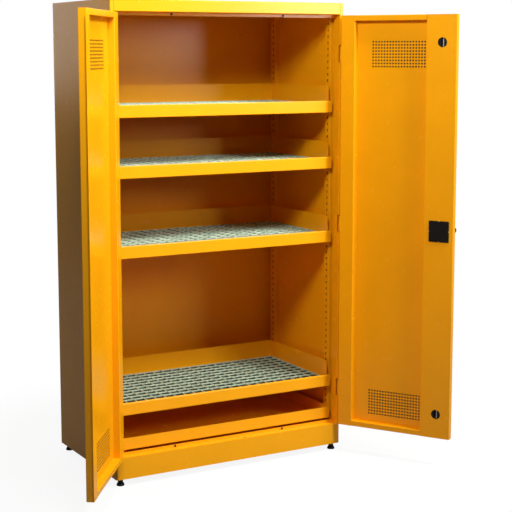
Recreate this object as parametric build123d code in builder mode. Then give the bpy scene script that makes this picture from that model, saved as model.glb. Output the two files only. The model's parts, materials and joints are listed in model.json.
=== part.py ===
"""Two-door steel cabinet for hazardous materials, with four sump shelves and a pull-out spill tray.

Sizes are in millimetres. The origin is on the floor under the middle of the cabinet, x to the right,
y to the back and z up. At rest the doors stand open, the bolts are drawn in and the spill tray is pushed in.
"""

import os
from math import cos, radians, sin

from build123d import *

os.makedirs("parts", exist_ok=True)

# Overall size and sheet
WIDTH = 1000.0
DEPTH = 570.0
HEIGHT = 1820.0
FOOT_HEIGHT = 28.0
SHEET = 1.5
BEND = 2.0

# Front frame: side strips, fascia above the doors and plinth below them
SIDE_STRIP = 15.0
STRIP_RETURN = 42.0
REAR_FLANGE = 18.0
ROOF_FLANGE = 25.0
FASCIA = 45.0
HEADER_GAP = 0.6
STOP_SETBACK = 31.0
HEADER_STOP = 13.0
SILL_STOP = 11.0
PLINTH_TOP = 112.0
PLINTH_CORNER = 10.0

# Holes in the back for fixing to a wall
WALL_HOLE_RADIUS = 4.5
WALL_HOLE_SPACING = 700.0
WALL_HOLE_DROP = 120.0

# Levelling feet
FOOT_INSET = 26.0
PAD_RADIUS = 15.0
PAD_RIM = 5.0
PAD_NECK_RADIUS = 10.0
PAD_NECK_START = 13.0
PAD_CLEARANCE = 2.0
PAD_FLOOR = 8.0
STUD_RADIUS = 5.0
STUD_TOP = 72.0
THREAD_PLAY = 0.05
NUT_FLATS = 17.0
NUT_SIDES = 6
NUT_HEIGHT = 8.0
BRACKET_SIZE = 54.0
BRACKET_THICK = 4.0
BRACKET_HEIGHT = 44.0
BRACKET_CHAMFER = 12.0

# Slotted uprights and the clips that hook into them
UPRIGHT_DEPTH = 18.5
UPRIGHT_WIDTH = 40.0
FRONT_UPRIGHT = 80.0
REAR_UPRIGHT = 515.0
UPRIGHT_HEADROOM = 8.0
SLOT_WIDTH = 8.0
SLOT_HEIGHT = 10.0
SLOT_PITCH = 25.0
SLOT_FIRST = 140.0
SLOT_END = 15.0
CLIP_THICK = 3.0
CLIP_HOOK = 10.0
CLIP_ARM = 50.0
CLIP_BEARING = 12.0
CLIP_PLAY = 0.4

# Sump shelves, each on the slot with the number given, counted from the bottom
SHELF_SLOTS = (5, 29, 41, 50)
SHELF_SETBACK = 37.5
SHELF_REAR = 491.5
SHELF_HALF = 459.5
LIP_HALF = 474.0
LIP_HEIGHT = 47.0
LIP_HEM = 12.0
UPSTAND = 61.0

# Gratings with square meshes, laid on ledges inside the shelves
GRATING_DROP = 10.0
GRATING_HEIGHT = 20.0
GRATING_PITCH = 40.0
GRATING_BAR = 2.0
GRATING_GAP = 2.0
LEDGE = 12.0

# Spill tray and its runners
TRAY_HALF = 474.0
TRAY_SETBACK = 38.0
TRAY_DEPTH = 460.0
TRAY_WALL = 47.0
TRAY_CORNER = 3.0
TRAY_PLAY = 0.3
RUNNER_HEIGHT = 16.0
RUNNER_FLANGE = 20.0
RUNNER_LEDGE = 32.0
RUNNER_GUIDE = 10.0
RUNNER_SIDE_PLAY = 0.6
RUNNER_START = 50.0

# Doors
DOOR_THICK = 28.0
DOOR_SIDE_GAP = 5.0
DOOR_MID_GAP = 4.0
DOOR_END_GAP = 3.5
DOOR_RIM = 22.0
HINGE_STILE = 58.0
LOCK_STILE = 122.0
MEETING_STILE = 50.0
LEFT_OPENING = 126.0
RIGHT_OPENING = 122.0

# Ventilation holes in both doors
VENT_COLUMNS = 20
VENT_ROWS = 9
VENT_PITCH = 12.0
VENT_RADIUS = 2.5
TOP_VENT_DROP = 151.0
BOTTOM_VENT_RISE = 105.0

# Lift-off hinges in notches of the side strips
HINGE_FROM_SIDE = 7.0
HINGE_FROM_FRONT = 2.0
HINGE_INSET = 150.0
HINGE_LENGTH = 60.0
KNUCKLE_RADIUS = 5.0
KNUCKLE_GAP = 0.3
NOTCH_PLAY = 2.0
PIN_RADIUS = 2.5
PIN_PLAY = 0.06
PIN_HEAD_RADIUS = 4.0
PIN_HEAD = 2.0
HINGE_PLATE = 2.5
HINGE_PLATE_EDGE = 4.0

# Stop strip on the left door, behind the edge of the right one
STRIP_BASE = 16.0
STRIP_TONGUE = 15.0
STRIP_THICK = 3.0
STRIP_RELIEF = 1.5
STRIP_INSET = 20.0
BUFFER_RADIUS = 4.5
BUFFER_PLAY = 0.4
BUFFER_SPREAD = 240.0

# Two-point lock in the right door
LOCK_HEIGHT = 940.0
LOCK_FROM_EDGE = 57.0
ROD_RADIUS = 5.0
ROD_DEPTH = 13.0
ROD_END = 2.0
ROD_PLAY = 0.5
ROD_HOLE_PLAY = 1.5
ROD_START = 30.0
BOLT_TRAVEL = 17.0
CAM_RADIUS = 20.0
CAM_THICK = 4.0
CAM_GAP = 1.0
CRANK_RADIUS = 12.0
CRANK_ANGLE = 45.0
CRANK_PIN_RADIUS = 2.5
CRANK_PIN_LENGTH = 9.0
YOKE_THICK = 4.0
YOKE_WALL = 3.0
YOKE_PLAY = 0.7
CASE_WIDTH = 56.0
CASE_HEIGHT = 90.0
CASE_TOP_GAP = 2.0
SPINDLE = 8.0
SPINDLE_HOLE_RADIUS = 6.5
STRIKE_WIDTH = 44.0
STRIKE_DEPTH = 20.0
STRIKE_THICK = 3.0

# Rod windows and the square cover on the inside of the right door
WINDOW_RADIUS = 19.0
TOP_WINDOW = 106.0
BOTTOM_WINDOW = 96.0
GUIDE_PLAY = 0.4
GUIDE_RECESS = 1.0
COVER = 82.0
COVER_THICK = 3.0
COVER_CORNER = 4.0
COVER_OPENING = 66.0
COVER_NOTCH_WIDTH = 6.0
COVER_NOTCH_DEPTH = 2.5
COVER_LEG = 8.0
COVER_LEG_WIDTH = 12.0
COVER_LEG_THICK = 2.0
COVER_LEG_PLAY = 0.3

# Turning handle on the outside of the right door
ROSE_RADIUS = 28.0
ROSE_THICK = 6.0
HUB_RADIUS = 14.0
HUB_LENGTH = 16.0
HUB_GAP = 0.4
SPINDLE_SEAT = 9.0
GRIP_LENGTH = 96.0
GRIP_WIDTH = 26.0
GRIP_THICK = 18.0
GRIP_EDGE = 4.0
CYLINDER_RADIUS = 8.0
CYLINDER_LENGTH = 14.0
CYLINDER_PLAY = 0.08
CYLINDER_PROUD = 1.0
KEYWAY_WIDTH = 1.6
KEYWAY_LENGTH = 8.0
KEYWAY_DEPTH = 6.0

# Places worked out from the sizes above
MID = SHEET / 2
SIDE = WIDTH / 2
FRONT = -DEPTH / 2
BACK = DEPTH / 2
SKIN_IN = SIDE - SHEET
BACK_IN = BACK - 2 * SHEET
OPENING_HALF = SIDE - SIDE_STRIP
HEADER_BOTTOM = HEIGHT - FASCIA
UPRIGHT_FACE = SKIN_IN - UPRIGHT_DEPTH
UPRIGHT_TOP = HEIGHT - ROOF_FLANGE - UPRIGHT_HEADROOM
SLOT_COUNT = int((UPRIGHT_TOP - SLOT_END - SLOT_FIRST) // SLOT_PITCH) + 1
SHELF_FRONT = FRONT + SHELF_SETBACK
SHELF_BACK = FRONT + SHELF_REAR
TRAY_FRONT = FRONT + TRAY_SETBACK
TRAY_BOTTOM = PLINTH_TOP + RUNNER_HEIGHT + TRAY_PLAY
HINGE_X = SIDE - HINGE_FROM_SIDE
HINGE_Y = FRONT + HINGE_FROM_FRONT
HEEL = HINGE_X - OPENING_HALF + DOOR_SIDE_GAP
LEAF = OPENING_HALF - DOOR_SIDE_GAP - DOOR_MID_GAP / 2
FREE = HEEL + LEAF
OUTER = -HINGE_FROM_FRONT
INNER = OUTER + DOOR_THICK
DOOR_BOTTOM = PLINTH_TOP + DOOR_END_GAP
DOOR_TOP = HEADER_BOTTOM - DOOR_END_GAP
DOOR_MIDDLE = (DOOR_BOTTOM + DOOR_TOP) / 2
HINGE_HEIGHTS = (DOOR_BOTTOM + HINGE_INSET, DOOR_MIDDLE, DOOR_TOP - HINGE_INSET)
LOCK_ALONG = FREE - LOCK_FROM_EDGE
ROD_AT = OUTER + ROD_DEPTH
CAM_AT = OUTER + 2 * SHEET + CAM_GAP
WINDOW_HEIGHTS = (DOOR_BOTTOM + BOTTOM_WINDOW, DOOR_TOP - TOP_WINDOW)
STRIKE_X = HINGE_X - LOCK_ALONG
STRIKE_Y = HINGE_Y + ROD_AT
ROD_HOLE_RADIUS = ROD_RADIUS + ROD_HOLE_PLAY
SIDES = ((-1, "left"), (1, "right"))
FEET = [
    (side * (SIDE - FOOT_INSET), end)
    for side, _ in SIDES
    for end in (FRONT + FOOT_INSET, BACK - FOOT_INSET)
]


def save(part, name):
    """Labels a finished piece and writes it to its own file."""
    part.label = name
    export_step(part, f"parts/{name}.step")


def folded_sheet(plane, points, length, corner=BEND):
    """Adds sheet metal folded along the middle line through points, drawn on plane and length long."""
    with BuildSketch(plane) as profile:
        with BuildLine():
            FilletPolyline(*points, radius=corner)
        trace(line_width=SHEET)
    extrude(profile.sketch, amount=length, dir=plane.z_dir)


def block(low, high, mode=Mode.ADD):
    """Adds or cuts a block between two opposite corners of the working plane."""
    with Locations(low):
        Box(*[b - a for a, b in zip(low, high)], align=Align.MIN, mode=mode)


def door_plan(side, opening):
    """Plan of a door at rest: origin on its hinge axis, y towards its inner face."""
    turn = radians(side * opening)
    return Plane(origin=(side * HINGE_X, HINGE_Y, 0), x_dir=(cos(turn), sin(turn), 0), z_dir=(0, 0, 1))


def door_face(plan, depth):
    """Upright plane along a door at a depth from its hinge axis, y up, facing out of the cabinet."""
    return Plane(origin=plan.from_local_coords((0, depth, 0)), x_dir=plan.x_dir, z_dir=-plan.y_dir)


def door_section(plan, along):
    """Section across a door at a place along it, x towards its inner face and y up."""
    return Plane(origin=plan.from_local_coords((along, 0, 0)), x_dir=plan.y_dir, z_dir=plan.x_dir)


def shelf_bottom(slot):
    """Height of the underside of a shelf whose clips hook into the slot."""
    return SLOT_FIRST + slot * SLOT_PITCH - SLOT_HEIGHT / 2 + CLIP_THICK


LEFT = door_plan(-1, LEFT_OPENING)
RIGHT = door_plan(1, RIGHT_OPENING)


# Carcass panels
def side_panel(side, word):
    """Outer side wall with its front strip, the strip's return and a rear flange."""
    notch_half = HINGE_LENGTH / 2 + PIN_HEAD + NOTCH_PLAY
    notch_depth = HINGE_FROM_FRONT + KNUCKLE_RADIUS + NOTCH_PLAY
    with BuildPart() as panel:
        folded_sheet(
            Plane.XY.offset(FOOT_HEIGHT),
            [
                (side * (OPENING_HALF + MID), FRONT + STRIP_RETURN),
                (side * (OPENING_HALF + MID), FRONT + MID),
                (side * (SIDE - MID), FRONT + MID),
                (side * (SIDE - MID), BACK - MID),
                (side * (SIDE - REAR_FLANGE), BACK - MID),
            ],
            HEIGHT - FOOT_HEIGHT,
        )
        with BuildSketch(Plane.XY.offset(FOOT_HEIGHT)):
            with Locations((side * SIDE, FRONT)):
                Rectangle(4 * SIDE_STRIP, 2 * STRIP_RETURN)
        extrude(amount=PLINTH_TOP - FOOT_HEIGHT, mode=Mode.SUBTRACT)
        with BuildSketch(Plane.XZ.offset(-FRONT)):
            with Locations(*[(side * (SKIN_IN - SIDE_STRIP), height) for height in HINGE_HEIGHTS]):
                Rectangle(2 * SIDE_STRIP, 2 * notch_half)
        extrude(amount=notch_depth, both=True, mode=Mode.SUBTRACT)
    save(panel.part, f"{word}_side_panel")


for side, word in SIDES:
    side_panel(side, word)

with BuildPart() as back_panel:
    with BuildSketch(Plane.XZ.offset(-BACK_IN)):
        with Locations((0, FOOT_HEIGHT)):
            Rectangle(2 * (SKIN_IN - BEND), HEIGHT - FOOT_HEIGHT, align=(Align.CENTER, Align.MIN))
        with Locations((0, HEIGHT - WALL_HOLE_DROP)):
            with GridLocations(WALL_HOLE_SPACING, 0, 2, 1):
                Circle(WALL_HOLE_RADIUS, mode=Mode.SUBTRACT)
    extrude(amount=-SHEET)
save(back_panel.part, "back_panel")

with BuildPart() as roof_panel:
    folded_sheet(
        Plane.XZ.offset(-BACK_IN),
        [
            (-SKIN_IN + MID, HEIGHT - ROOF_FLANGE),
            (-SKIN_IN + MID, HEIGHT - MID),
            (SKIN_IN - MID, HEIGHT - MID),
            (SKIN_IN - MID, HEIGHT - ROOF_FLANGE),
        ],
        BACK_IN - FRONT - STRIP_RETURN,
    )
save(roof_panel.part, "roof_panel")

with BuildPart() as top_header:
    folded_sheet(
        Plane.YZ.offset(HEADER_GAP - OPENING_HALF),
        [
            (FRONT + STRIP_RETURN, HEIGHT - MID),
            (FRONT + MID, HEIGHT - MID),
            (FRONT + MID, HEADER_BOTTOM + MID),
            (FRONT + STOP_SETBACK, HEADER_BOTTOM + MID),
            (FRONT + STOP_SETBACK, HEADER_BOTTOM - HEADER_STOP),
        ],
        2 * (OPENING_HALF - HEADER_GAP),
    )
    with Locations((STRIKE_X, STRIKE_Y, HEADER_BOTTOM)):
        Cylinder(ROD_HOLE_RADIUS, FASCIA, mode=Mode.SUBTRACT)
save(top_header.part, "top_header")

with BuildPart() as plinth:
    folded_sheet(
        Plane.XY.offset(FOOT_HEIGHT),
        [
            (MID - SIDE, FRONT + STRIP_RETURN),
            (MID - SIDE, FRONT + MID),
            (SIDE - MID, FRONT + MID),
            (SIDE - MID, FRONT + STRIP_RETURN),
        ],
        PLINTH_TOP - FOOT_HEIGHT,
        corner=PLINTH_CORNER,
    )
    with BuildSketch(Plane.XY.offset(PLINTH_TOP)) as ledge:
        with Locations((0, FRONT)):
            Rectangle(WIDTH, STRIP_RETURN, align=(Align.CENTER, Align.MIN))
        fillet(ledge.vertices().group_by(Axis.Y)[0], PLINTH_CORNER + MID)
    extrude(amount=-SHEET)
    block(
        (HEADER_GAP - OPENING_HALF, FRONT + STOP_SETBACK - MID, PLINTH_TOP - MID),
        (OPENING_HALF - HEADER_GAP, FRONT + STOP_SETBACK + MID, PLINTH_TOP + SILL_STOP),
    )
    with Locations((STRIKE_X, STRIKE_Y, PLINTH_TOP)):
        Cylinder(ROD_HOLE_RADIUS, 4 * SHEET, mode=Mode.SUBTRACT)
save(plinth.part, "plinth")

with BuildPart() as floor_panel:
    block((-SKIN_IN, FRONT + STRIP_RETURN, PLINTH_TOP - SHEET), (SKIN_IN, BACK_IN, PLINTH_TOP))
save(floor_panel.part, "floor_panel")

with BuildPart() as rod_strikes:
    for low in (HEADER_BOTTOM + SHEET, PLINTH_TOP - SHEET - STRIKE_THICK):
        with BuildSketch(Plane.XY.offset(low)):
            with Locations((STRIKE_X, STRIKE_Y)):
                Rectangle(STRIKE_WIDTH, STRIKE_DEPTH)
                Circle(ROD_HOLE_RADIUS, mode=Mode.SUBTRACT)
        extrude(amount=STRIKE_THICK)
save(rod_strikes.part, "rod_strikes")

with BuildPart() as door_buffers:
    buffer_face = FRONT + STOP_SETBACK - MID
    buffer_thick = STOP_SETBACK - MID - DOOR_THICK - BUFFER_PLAY
    buffer_heights = (PLINTH_TOP + SILL_STOP / 2, HEADER_BOTTOM - HEADER_STOP + BUFFER_RADIUS + SHEET)
    with BuildSketch(Plane.XZ.offset(-buffer_face)):
        for height in buffer_heights:
            with Locations((-BUFFER_SPREAD, height), (BUFFER_SPREAD, height)):
                Circle(BUFFER_RADIUS)
    extrude(amount=buffer_thick)
save(door_buffers.part, "door_buffers")

# Levelling feet
with BuildPart() as foot_pads:
    for x, y in FEET:
        with BuildSketch(Plane(origin=(x, y, 0), x_dir=(1, 0, 0), z_dir=(0, -1, 0))) as half:
            with BuildLine():
                Polyline(
                    (0, 0),
                    (PAD_RADIUS, 0),
                    (PAD_RADIUS, PAD_RIM),
                    (PAD_NECK_RADIUS, PAD_NECK_START),
                    (PAD_NECK_RADIUS, FOOT_HEIGHT - PAD_CLEARANCE),
                    (STUD_RADIUS + THREAD_PLAY, FOOT_HEIGHT - PAD_CLEARANCE),
                    (STUD_RADIUS + THREAD_PLAY, PAD_FLOOR),
                    (0, PAD_FLOOR),
                    close=True,
                )
            make_face()
        revolve(half.sketch, axis=Axis((x, y, 0), (0, 0, 1)))
save(foot_pads.part, "foot_pads")

with BuildPart() as foot_studs:
    with BuildSketch(Plane.XY.offset(PAD_FLOOR)):
        with Locations(*FEET):
            Circle(STUD_RADIUS)
    extrude(amount=STUD_TOP - PAD_FLOOR)
save(foot_studs.part, "foot_studs")

with BuildPart() as foot_brackets:
    for x, y in FEET:
        wall_x = SKIN_IN if x > 0 else -SKIN_IN
        wall_y = BACK_IN if y > 0 else FRONT + SHEET
        in_x = wall_x - (BRACKET_SIZE if x > 0 else -BRACKET_SIZE)
        in_y = wall_y - (BRACKET_SIZE if y > 0 else -BRACKET_SIZE)
        with BuildSketch(Plane.XY.offset(BRACKET_HEIGHT)) as plate:
            with Locations(((wall_x + in_x) / 2, (wall_y + in_y) / 2)):
                Rectangle(BRACKET_SIZE, BRACKET_SIZE)
            chamfer(plate.vertices(), BRACKET_CHAMFER)
            with Locations((x, y)):
                Circle(STUD_RADIUS + THREAD_PLAY, mode=Mode.SUBTRACT)
        extrude(amount=BRACKET_THICK)
save(foot_brackets.part, "foot_brackets")

with BuildPart() as foot_nuts:
    for low in (BRACKET_HEIGHT - NUT_HEIGHT, BRACKET_HEIGHT + BRACKET_THICK):
        with BuildSketch(Plane.XY.offset(low)):
            with Locations(*FEET):
                RegularPolygon(NUT_FLATS / 2, NUT_SIDES, major_radius=False)
                Circle(STUD_RADIUS + THREAD_PLAY, mode=Mode.SUBTRACT)
        extrude(amount=NUT_HEIGHT)
save(foot_nuts.part, "foot_nuts")


# Slotted uprights
def upright(side, centre, name):
    """Channel on a side wall with a column of slots for the shelf clips."""
    edge = UPRIGHT_WIDTH / 2 - MID
    with BuildPart() as channel:
        folded_sheet(
            Plane.XY.offset(PLINTH_TOP),
            [
                (side * SKIN_IN, centre - edge),
                (side * (UPRIGHT_FACE + MID), centre - edge),
                (side * (UPRIGHT_FACE + MID), centre + edge),
                (side * SKIN_IN, centre + edge),
            ],
            UPRIGHT_TOP - PLINTH_TOP,
        )
        slots = [(side * UPRIGHT_FACE, centre, SLOT_FIRST + n * SLOT_PITCH) for n in range(SLOT_COUNT)]
        with Locations(*slots):
            Box(4 * SHEET, SLOT_WIDTH, SLOT_HEIGHT, mode=Mode.SUBTRACT)
    save(channel.part, name)


for side, word in SIDES:
    upright(side, FRONT + FRONT_UPRIGHT, f"{word}_front_upright")
    upright(side, FRONT + REAR_UPRIGHT, f"{word}_rear_upright")


# Sump shelves
def shelf_tray(number, bottom):
    """Shelf pan with a folded front lip, higher sides and back, and ledges for its grating."""
    lip_top = bottom + LIP_HEIGHT
    wall_top = lip_top + UPSTAND
    ledge_top = lip_top - GRATING_DROP - GRATING_HEIGHT
    wall_front = SHELF_FRONT + SHEET
    with BuildPart() as tray:
        folded_sheet(
            Plane.YZ.offset(-LIP_HALF),
            [
                (SHELF_FRONT + LIP_HEM, lip_top - MID),
                (SHELF_FRONT + MID, lip_top - MID),
                (SHELF_FRONT + MID, bottom + MID),
                (SHELF_FRONT + LIP_HEM, bottom + MID),
            ],
            2 * LIP_HALF,
        )
        block((-SHELF_HALF, SHELF_FRONT + LIP_HEM, bottom), (SHELF_HALF, SHELF_BACK, bottom + SHEET))
        block((-SHELF_HALF, SHELF_BACK - SHEET, bottom), (SHELF_HALF, SHELF_BACK, wall_top))
        for inner, outer in ((-SHELF_HALF, SHEET - SHELF_HALF), (SHELF_HALF - SHEET, SHELF_HALF)):
            block((inner, wall_front, bottom + SHEET), (outer, SHELF_BACK, wall_top))
        for start in (-SHELF_HALF, SHELF_HALF - LEDGE):
            block((start, wall_front, ledge_top - SHEET), (start + LEDGE, SHELF_BACK, ledge_top))
    save(tray.part, f"shelf_tray_{number}")


def grating_mesh():
    """Plan of a grating: bars across and along, with square meshes between them."""
    width = 2 * (SHELF_HALF - SHEET - GRATING_GAP)
    depth = SHELF_BACK - SHELF_FRONT - 2 * (SHEET + GRATING_GAP)
    columns = int((width - GRATING_BAR) // GRATING_PITCH)
    rows = int((depth - GRATING_BAR) // GRATING_PITCH)
    across = (width - GRATING_BAR) / columns
    along = (depth - GRATING_BAR) / rows
    with BuildSketch() as mesh:
        with Locations((0, (SHELF_FRONT + SHELF_BACK) / 2)):
            Rectangle(width, depth)
            with GridLocations(across, along, columns, rows):
                Rectangle(across - GRATING_BAR, along - GRATING_BAR, mode=Mode.SUBTRACT)
    return mesh.sketch


def grating(number, bottom, mesh):
    """Welded bar grating lying inside a shelf."""
    top = bottom + LIP_HEIGHT - GRATING_DROP
    with BuildPart() as bars:
        extrude(mesh.moved(Location((0, 0, top))), amount=GRATING_HEIGHT, dir=(0, 0, -1))
    save(bars.part, f"grating_{number}")


def shelf_clips(number, bottom):
    """Four hooked clips that carry one shelf."""
    hook_half = SLOT_WIDTH / 2 - CLIP_PLAY
    seat = bottom - CLIP_THICK
    hook_back = UPRIGHT_FACE + SHEET + CLIP_THICK
    with BuildPart() as clips:
        for side, _ in SIDES:
            for centre, arm in ((FRONT + FRONT_UPRIGHT, CLIP_ARM), (FRONT + REAR_UPRIGHT, -CLIP_ARM)):
                with BuildSketch(Plane.XZ.offset(-centre)) as hook:
                    with BuildLine():
                        Polyline(
                            (side * (SHELF_HALF - CLIP_BEARING), seat),
                            (side * (UPRIGHT_FACE + SHEET), seat),
                            (side * (UPRIGHT_FACE + SHEET), seat - CLIP_HOOK),
                            (side * hook_back, seat - CLIP_HOOK),
                            (side * hook_back, bottom),
                            (side * (SHELF_HALF - CLIP_BEARING), bottom),
                            close=True,
                        )
                    make_face()
                extrude(amount=hook_half, both=True)
                ends = sorted((centre, centre + arm))
                x_ends = sorted((side * (SHELF_HALF - CLIP_BEARING), side * (UPRIGHT_FACE - CLIP_PLAY)))
                block((x_ends[0], ends[0], seat), (x_ends[1], ends[1], bottom))
    save(clips.part, f"shelf_clips_{number}")


MESH = grating_mesh()
for number, slot in enumerate(SHELF_SLOTS, start=1):
    shelf_tray(number, shelf_bottom(slot))
    grating(number, shelf_bottom(slot), MESH)
    shelf_clips(number, shelf_bottom(slot))


# Spill tray and runners
def tray_runner(side, word):
    """Folded rail on the floor panel that carries and guides one side of the spill tray."""
    guide = TRAY_HALF + RUNNER_SIDE_PLAY + MID
    web = guide - RUNNER_LEDGE
    top = PLINTH_TOP + RUNNER_HEIGHT
    with BuildPart() as runner:
        folded_sheet(
            Plane.XZ.offset(-TRAY_FRONT - TRAY_DEPTH),
            [
                (side * (web - RUNNER_FLANGE), PLINTH_TOP + MID),
                (side * web, PLINTH_TOP + MID),
                (side * web, top - MID),
                (side * guide, top - MID),
                (side * guide, top + RUNNER_GUIDE),
            ],
            TRAY_SETBACK + TRAY_DEPTH - RUNNER_START,
        )
    save(runner.part, f"{word}_tray_runner")


for side, word in SIDES:
    tray_runner(side, word)

with BuildPart() as spill_tray:
    block(
        (-TRAY_HALF, TRAY_FRONT, TRAY_BOTTOM),
        (TRAY_HALF, TRAY_FRONT + TRAY_DEPTH, TRAY_BOTTOM + TRAY_WALL),
    )
    bottom_edges, upright_edges, _ = spill_tray.edges().group_by(Axis.Z)
    fillet(bottom_edges + upright_edges, TRAY_CORNER)
    offset(amount=-SHEET, openings=spill_tray.faces().sort_by(Axis.Z)[-1])
save(spill_tray.part, "spill_tray")


# Hinges: one leaf inside the side strip, the other on the heel of the door, and the pin between them
def hinges(side, word, plan):
    """Three lift-off hinges of one door."""
    half = HINGE_LENGTH / 2
    with BuildPart() as frame_leaves:
        with BuildSketch(*[Plane.XY.offset(height - half) for height in HINGE_HEIGHTS]):
            with Locations((side * HINGE_X, HINGE_Y)):
                Circle(KNUCKLE_RADIUS)
            with Locations((side * (SKIN_IN - HINGE_PLATE / 2), HINGE_Y)):
                Rectangle(
                    HINGE_PLATE,
                    STRIP_RETURN - HINGE_FROM_FRONT - HINGE_PLATE_EDGE,
                    align=(Align.CENTER, Align.MIN),
                )
            with Locations((side * HINGE_X, HINGE_Y)):
                Circle(PIN_RADIUS, mode=Mode.SUBTRACT)
        extrude(amount=half - KNUCKLE_GAP)
    save(frame_leaves.part, f"{word}_hinge_frame_leaves")

    with BuildPart() as door_leaves:
        with BuildSketch(*[plan.offset(height) for height in HINGE_HEIGHTS]):
            Circle(KNUCKLE_RADIUS)
            with Locations((-side * HEEL / 2, 0)):
                Rectangle(HEEL, HINGE_PLATE)
            with Locations((-side * (HEEL - HINGE_PLATE / 2), -HINGE_PLATE / 2)):
                Rectangle(HINGE_PLATE, INNER - HINGE_PLATE_EDGE, align=(Align.CENTER, Align.MIN))
            Circle(PIN_RADIUS + PIN_PLAY, mode=Mode.SUBTRACT)
        extrude(amount=half)
    save(door_leaves.part, f"{word}_hinge_door_leaves")

    with BuildPart() as pins:
        with BuildSketch(*[Plane.XY.offset(height - half) for height in HINGE_HEIGHTS]):
            with Locations((side * HINGE_X, HINGE_Y)):
                Circle(PIN_RADIUS)
        extrude(amount=HINGE_LENGTH)
        with BuildSketch(*[Plane.XY.offset(height - half) for height in HINGE_HEIGHTS]):
            with Locations((side * HINGE_X, HINGE_Y)):
                Circle(PIN_HEAD_RADIUS)
        extrude(amount=-PIN_HEAD)
    save(pins.part, f"{word}_hinge_pins")


# Doors
def door_skin(side, word, plan):
    """Outer face of a door with its two folded edges and the ventilation holes."""
    with BuildPart() as skin:
        folded_sheet(
            plan.offset(DOOR_BOTTOM),
            [
                (-side * (HEEL + MID), INNER - SHEET),
                (-side * (HEEL + MID), OUTER + MID),
                (-side * (FREE - MID), OUTER + MID),
                (-side * (FREE - MID), INNER - SHEET),
            ],
            DOOR_TOP - DOOR_BOTTOM,
        )
        with Locations(door_face(plan, OUTER)):
            for height in (DOOR_TOP - TOP_VENT_DROP, DOOR_BOTTOM + BOTTOM_VENT_RISE):
                with Locations((-side * (HEEL + LEAF / 2), height)):
                    with GridLocations(VENT_PITCH, VENT_PITCH, VENT_COLUMNS, VENT_ROWS):
                        Cylinder(VENT_RADIUS, 4 * SHEET, mode=Mode.SUBTRACT)
            if plan is RIGHT:
                with Locations((-LOCK_ALONG, LOCK_HEIGHT)):
                    Cylinder(SPINDLE_HOLE_RADIUS, 4 * SHEET, mode=Mode.SUBTRACT)
    save(skin.part, f"{word}_door_skin")


def door_stile(side, plan, edge, width, name):
    """Upright cover along one edge of a door, stepped down to the skin."""
    inward = width if edge == HEEL else -width
    step = MID if edge == HEEL else -MID
    with BuildPart() as stile:
        folded_sheet(
            plan.offset(DOOR_BOTTOM + SHEET),
            [
                (-side * edge, INNER - MID),
                (-side * (edge + inward - step), INNER - MID),
                (-side * (edge + inward - step), OUTER + SHEET),
            ],
            DOOR_TOP - DOOR_BOTTOM - 2 * SHEET,
        )
        if name == "right_lock_stile":
            with BuildSketch(door_face(plan, INNER)) as cuts:
                with Locations(*[(-LOCK_ALONG, height) for height in WINDOW_HEIGHTS]):
                    Circle(WINDOW_RADIUS)
                with Locations((-LOCK_ALONG, LOCK_HEIGHT)):
                    Rectangle(COVER_OPENING, COVER_OPENING)
            extrude(cuts.sketch, amount=2 * SHEET, both=True, mode=Mode.SUBTRACT)
    save(stile.part, name)


def door_rail(side, plan, free_stile, upper, name):
    """Top or bottom edge of a door with its rim between the stiles."""
    wall = DOOR_TOP if upper else DOOR_BOTTOM
    inward = -1 if upper else 1
    rim_ends = sorted((-side * (HEEL + HINGE_STILE), -side * (FREE - free_stile)))
    wall_ends = sorted((-side * (HEEL + SHEET), -side * (FREE - SHEET)))
    wall_levels = sorted((wall, wall + inward * SHEET))
    with BuildPart() as rail:
        folded_sheet(
            door_section(plan, rim_ends[0]),
            [
                (OUTER + SHEET, wall + inward * MID),
                (INNER - MID, wall + inward * MID),
                (INNER - MID, wall + inward * (DOOR_RIM - MID)),
                (OUTER + SHEET, wall + inward * (DOOR_RIM - MID)),
            ],
            rim_ends[1] - rim_ends[0],
        )
        with BuildSketch(plan.offset(wall_levels[0])) as wall_sheet:
            with Locations(((wall_ends[0] + wall_ends[1]) / 2, OUTER + SHEET)):
                Rectangle(wall_ends[1] - wall_ends[0], DOOR_THICK - SHEET, align=(Align.CENTER, Align.MIN))
            fillet(wall_sheet.vertices().group_by(Axis.Y)[0], BEND)
            with Locations(((rim_ends[0] + rim_ends[1]) / 2, OUTER + SHEET)):
                Rectangle(
                    rim_ends[1] - rim_ends[0],
                    2 * DOOR_THICK,
                    align=(Align.CENTER, Align.MIN),
                    mode=Mode.SUBTRACT,
                )
            if plan is RIGHT:
                with Locations((-LOCK_ALONG, ROD_AT)):
                    Circle(ROD_RADIUS + ROD_PLAY, mode=Mode.SUBTRACT)
        extrude(amount=SHEET)
    save(rail.part, name)


for side, word, plan, stile, width in (
    (-1, "left", LEFT, "left_meeting_stile", MEETING_STILE),
    (1, "right", RIGHT, "right_lock_stile", LOCK_STILE),
):
    hinges(side, word, plan)
    door_skin(side, word, plan)
    door_stile(side, plan, HEEL, HINGE_STILE, f"{word}_hinge_stile")
    door_stile(side, plan, FREE, width, stile)
    door_rail(side, plan, width, True, f"{word}_top_rail")
    door_rail(side, plan, width, False, f"{word}_bottom_rail")

with BuildPart() as left_stop_strip:
    with BuildSketch(LEFT.offset(DOOR_BOTTOM + STRIP_INSET)) as strip:
        with BuildLine():
            Polyline(
                (FREE - STRIP_BASE, INNER),
                (FREE, INNER),
                (FREE, INNER + STRIP_RELIEF),
                (FREE + STRIP_TONGUE, INNER + STRIP_RELIEF),
                (FREE + STRIP_TONGUE, INNER + STRIP_THICK),
                (FREE - STRIP_BASE, INNER + STRIP_THICK),
                close=True,
            )
        make_face()
    extrude(amount=DOOR_TOP - DOOR_BOTTOM - 2 * STRIP_INSET)
save(left_stop_strip.part, "left_stop_strip")

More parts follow.
